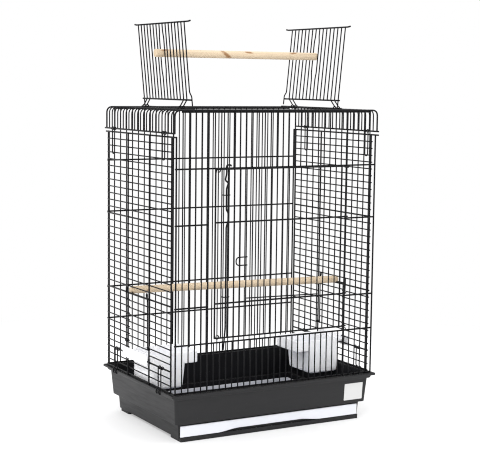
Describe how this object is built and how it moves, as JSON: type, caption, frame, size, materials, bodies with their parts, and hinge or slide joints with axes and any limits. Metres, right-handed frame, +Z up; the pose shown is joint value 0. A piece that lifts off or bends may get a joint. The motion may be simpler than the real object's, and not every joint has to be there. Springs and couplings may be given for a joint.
{
  "type": "bird cage",
  "caption": "Wire bird cage with a hinged front door, lifting feeder doors over cups, a flap-top roof with a play perch, and a deep base with a slide-out tray.",
  "frame": {"origin": "on the ground under the middle of the cabin", "axes": "+Z up, -Y towards the front door, +X to the right seen from the front"},
  "size_m": [0.4638, 0.3291, 0.7884],
  "materials": {
    "black_wire": "satin",
    "black_plastic": "gloss",
    "white_plastic": "satin",
    "pale_wood": "matte",
    "label_film": "satin"
  },
  "bodies": {
    "cage": {"base_tub": "black_plastic", "bare_label": "label_film", "front_panel": "black_wire", "back_panel": "black_wire", "left_side_panel": "black_wire", "right_side_panel": "black_wire", "roof_panel": "black_wire", "left_cup": "white_plastic", "right_cup": "white_plastic", "lower_perch": "pale_wood"},
    "tray": {"slide_tray": "white_plastic"},
    "front_door": {"main_door": "black_wire", "door_pull": "black_wire", "door_stay": "black_wire"},
    "bolt": {"door_bolt": "black_wire"},
    "left_flap": {"left_roof_flap": "black_wire"},
    "right_flap": {"right_roof_flap": "black_wire"},
    "perch": {"top_perch": "pale_wood"},
    "left_feeder": {"left_feeder_door": "black_wire"},
    "right_feeder": {"right_feeder_door": "black_wire"},
    "left_front_hook": {"left_front_roof_hook": "black_wire"},
    "left_back_hook": {"left_back_roof_hook": "black_wire"},
    "left_front_clip": {"left_front_base_clip": "black_wire"},
    "left_back_clip": {"left_back_base_clip": "black_wire"},
    "right_front_hook": {"right_front_roof_hook": "black_wire"},
    "right_back_hook": {"right_back_roof_hook": "black_wire"},
    "right_front_clip": {"right_front_base_clip": "black_wire"},
    "right_back_clip": {"right_back_base_clip": "black_wire"}
  },
  "joints": [
    {"name": "front_door_hinge", "type": "hinge", "parent": "cage", "child": "front_door", "pos_m": [0.15352, -0.15352, 0.35], "axis": [0, 0, 1], "range_deg": [0, 120]},
    {"name": "bolt_slide", "type": "slide", "parent": "front_door", "child": "bolt", "axis": [0, 0, 1], "range_m": [0, 0.025]},
    {"name": "tray_slide", "type": "slide", "parent": "cage", "child": "tray", "axis": [0, -1, 0], "range_m": [0, 0.26]},
    {"name": "left_flap_hinge", "type": "hinge", "parent": "cage", "child": "left_flap", "pos_m": [-0.164, 0, 0.6263], "axis": [0, 1, 0], "range_deg": [0, 94.4]},
    {"name": "right_flap_hinge", "type": "hinge", "parent": "cage", "child": "right_flap", "pos_m": [0.164, 0, 0.6263], "axis": [0, 1, 0], "range_deg": [-94.4, 0]},
    {"name": "perch_draw", "type": "slide", "parent": "cage", "child": "perch", "axis": [-1, 0, 0], "range_m": [0, 0.693]},
    {"name": "left_feeder_slide", "type": "slide", "parent": "cage", "child": "left_feeder", "axis": [0, 0, 1], "range_m": [0, 0.088]},
    {"name": "right_feeder_slide", "type": "slide", "parent": "cage", "child": "right_feeder", "axis": [0, 0, 1], "range_m": [0, 0.088]},
    {"name": "left_front_hook_hinge", "type": "hinge", "parent": "cage", "child": "left_front_hook", "pos_m": [-0.22608, -0.11347, 0.582], "axis": [0, 1, 0], "range_deg": [0, 100]},
    {"name": "left_back_hook_hinge", "type": "hinge", "parent": "cage", "child": "left_back_hook", "pos_m": [-0.22608, 0.11347, 0.582], "axis": [0, 1, 0], "range_deg": [0, 100]},
    {"name": "left_front_clip_hinge", "type": "hinge", "parent": "cage", "child": "left_front_clip", "pos_m": [-0.22378, -0.1001, 0.13788], "axis": [0, 1, 0], "range_deg": [0, 110]},
    {"name": "left_back_clip_hinge", "type": "hinge", "parent": "cage", "child": "left_back_clip", "pos_m": [-0.22378, 0.1001, 0.13788], "axis": [0, 1, 0], "range_deg": [0, 110]},
    {"name": "right_front_hook_hinge", "type": "hinge", "parent": "cage", "child": "right_front_hook", "pos_m": [0.22608, -0.11347, 0.582], "axis": [0, 1, 0], "range_deg": [-100, 0]},
    {"name": "right_back_hook_hinge", "type": "hinge", "parent": "cage", "child": "right_back_hook", "pos_m": [0.22608, 0.11347, 0.582], "axis": [0, 1, 0], "range_deg": [-100, 0]},
    {"name": "right_front_clip_hinge", "type": "hinge", "parent": "cage", "child": "right_front_clip", "pos_m": [0.22378, -0.1001, 0.13788], "axis": [0, 1, 0], "range_deg": [-110, 0]},
    {"name": "right_back_clip_hinge", "type": "hinge", "parent": "cage", "child": "right_back_clip", "pos_m": [0.22378, 0.1001, 0.13788], "axis": [0, 1, 0], "range_deg": [-110, 0]}
  ],
  "couplings": [
    {"joint": "right_flap_hinge", "follows": "left_flap_hinge", "ratio": -1},
    {"joint": "perch_draw", "follows": "left_flap_hinge", "m_per_rad": 0.42}
  ]
}
